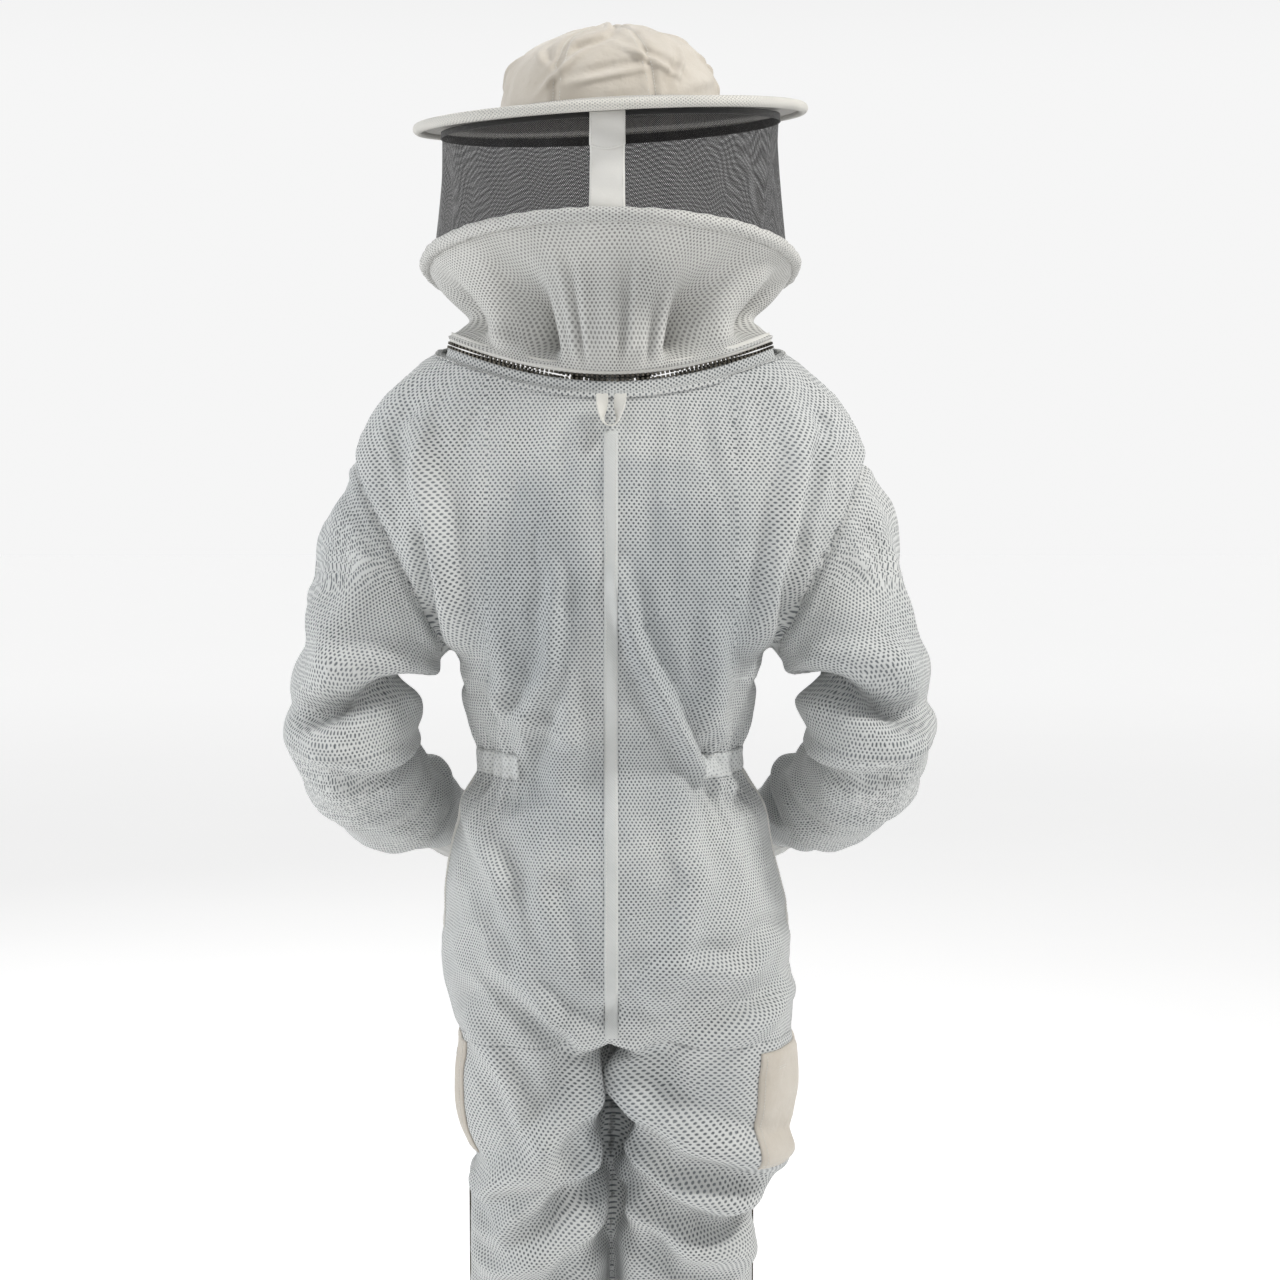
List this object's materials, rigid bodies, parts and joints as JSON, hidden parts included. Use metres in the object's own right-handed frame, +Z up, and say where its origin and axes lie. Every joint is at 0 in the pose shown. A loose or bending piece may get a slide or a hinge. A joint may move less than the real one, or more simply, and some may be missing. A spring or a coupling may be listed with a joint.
{
  "type": "beekeeping suit",
  "caption": "One-piece three-layer mesh beekeeping coverall with zipped-on hat and round black veil, elastic cuffs, zipped legs and cotton cargo pockets.",
  "frame": {"origin": "middle of the neck opening, level with the neck zip at the throat and at the back", "axes": "+Z up, the wearer faces -Y, +X is the wearer's left"},
  "size_m": [0.668, 0.4048, 1.7742],
  "materials": {
    "mesh_white": "three-layer ventilated mesh, matt",
    "cotton_white": "woven cotton tape and binding, matt",
    "cotton_cream": "cotton twill, matt",
    "rib_white": "ribbed elastic knit, matt",
    "net_black": "fine knitted net, see-through",
    "zip_metal": "antique, dark",
    "wire_steel": "spring steel"
  },
  "bodies": {
    "suit": {"ankle_cuff_left": "rib_white", "ankle_cuff_right": "rib_white", "back_panel_left": "mesh_white", "back_panel_right": "mesh_white", "cargo_pocket_left": "cotton_cream", "cargo_pocket_right": "cotton_cream", "centre_back_band": "cotton_white", "chest_pocket": "cotton_cream", "forearm_sleeve_left": "mesh_white", "forearm_sleeve_right": "mesh_white", "front_panel_left": "mesh_white", "front_panel_right": "mesh_white", "front_zip_tapes": "cotton_white", "front_zip_teeth": "zip_metal", "hanging_loop": "cotton_white", "hip_slit_binding_left": "cotton_white", "hip_slit_binding_right": "cotton_white", "leg_back_left": "mesh_white", "leg_back_right": "mesh_white", "leg_front_left": "mesh_white", "leg_front_right": "mesh_white", "leg_zip_tapes_left": "cotton_white", "leg_zip_tapes_right": "cotton_white", "leg_zip_teeth_left": "zip_metal", "leg_zip_teeth_right": "zip_metal", "neck_zip_lower_tape": "cotton_white", "neck_zip_lower_teeth": "zip_metal", "upper_sleeve_left": "mesh_white", "upper_sleeve_right": "mesh_white", "waist_elastic_casing_left": "cotton_white", "waist_elastic_casing_right": "cotton_white", "wrist_cuff_left": "rib_white", "wrist_cuff_right": "rib_white"},
    "hood": {"hat_crown": "cotton_cream", "hat_brim": "mesh_white", "brim_edge_binding": "cotton_white", "brim_edge_wire": "wire_steel", "sweatband": "cotton_cream", "veil_net": "net_black", "veil_top_binding": "cotton_white", "back_strap": "cotton_white", "hoop_cover": "mesh_white", "hoop_wire": "wire_steel", "pleated_skirt": "mesh_white", "neck_zip_upper_tape": "cotton_white", "neck_zip_upper_teeth": "zip_metal"},
    "front_slider": {"front_zip_slider": "zip_metal"},
    "front_pull": {"front_zip_pull": "zip_metal"},
    "leg_slider_left": {"leg_zip_slider_left": "zip_metal"},
    "leg_pull_left": {"leg_zip_pull_left": "zip_metal"},
    "leg_slider_right": {"leg_zip_slider_right": "zip_metal"},
    "leg_pull_right": {"leg_zip_pull_right": "zip_metal"},
    "neck_slider_left": {"neck_zip_slider_left": "zip_metal"},
    "neck_pull_left": {"neck_zip_pull_left": "zip_metal"},
    "neck_slider_right": {"neck_zip_slider_right": "zip_metal"},
    "neck_pull_right": {"neck_zip_pull_right": "zip_metal"},
    "flap": {"throat_flap": "cotton_white"}
  },
  "joints": [
    {"name": "hood_tilt", "type": "hinge", "parent": "suit", "child": "hood", "pos_m": [0, 0.1155, 0], "axis": [-1, 0, 0], "range_deg": [0, 95]},
    {"name": "front_zip", "type": "slide", "parent": "suit", "child": "front_slider", "axis": [0, 0, -1], "range_m": [0, 0.576]},
    {"name": "front_pull_swing", "type": "hinge", "parent": "front_slider", "child": "front_pull", "pos_m": [0, -0.1333, -0.037], "axis": [-1, 0, 0], "range_deg": [0, 60]},
    {"name": "neck_zip_left", "type": "hinge", "parent": "suit", "child": "neck_slider_left", "pos_m": [0, 0.04, 0], "axis": [-0.2147, 0, 0.9767], "range_deg": [0, 72]},
    {"name": "neck_pull_left_swing", "type": "hinge", "parent": "neck_slider_left", "child": "neck_pull_left", "pos_m": [0.03807, -0.12886, 0.00837], "axis": [-0.9516, -0.225, -0.2092], "range_deg": [0, 60]},
    {"name": "neck_zip_right", "type": "hinge", "parent": "suit", "child": "neck_slider_right", "pos_m": [0, 0.04, 0], "axis": [-0.2147, 0, -0.9767], "range_deg": [0, 72]},
    {"name": "neck_pull_right_swing", "type": "hinge", "parent": "neck_slider_right", "child": "neck_pull_right", "pos_m": [-0.03807, -0.12886, 0.00837], "axis": [-0.9516, 0.225, 0.2092], "range_deg": [0, 60]},
    {"name": "leg_zip_left", "type": "slide", "parent": "suit", "child": "leg_slider_left", "axis": [0, 0, 1], "range_m": [0, 0.54]},
    {"name": "leg_pull_left_swing", "type": "hinge", "parent": "leg_slider_left", "child": "leg_pull_left", "pos_m": [0.1553, 0, -1.387], "axis": [0, -1, 0], "range_deg": [0, 60]},
    {"name": "leg_zip_right", "type": "slide", "parent": "suit", "child": "leg_slider_right", "axis": [0, 0, 1], "range_m": [0, 0.54]},
    {"name": "leg_pull_right_swing", "type": "hinge", "parent": "leg_slider_right", "child": "leg_pull_right", "pos_m": [-0.1553, 0, -1.387], "axis": [0, 1, 0], "range_deg": [0, 60]},
    {"name": "throat_flap_open", "type": "hinge", "parent": "suit", "child": "flap", "pos_m": [0, -0.1404, -0.022], "axis": [1, 0, 0], "range_deg": [0, 90]}
  ]
}
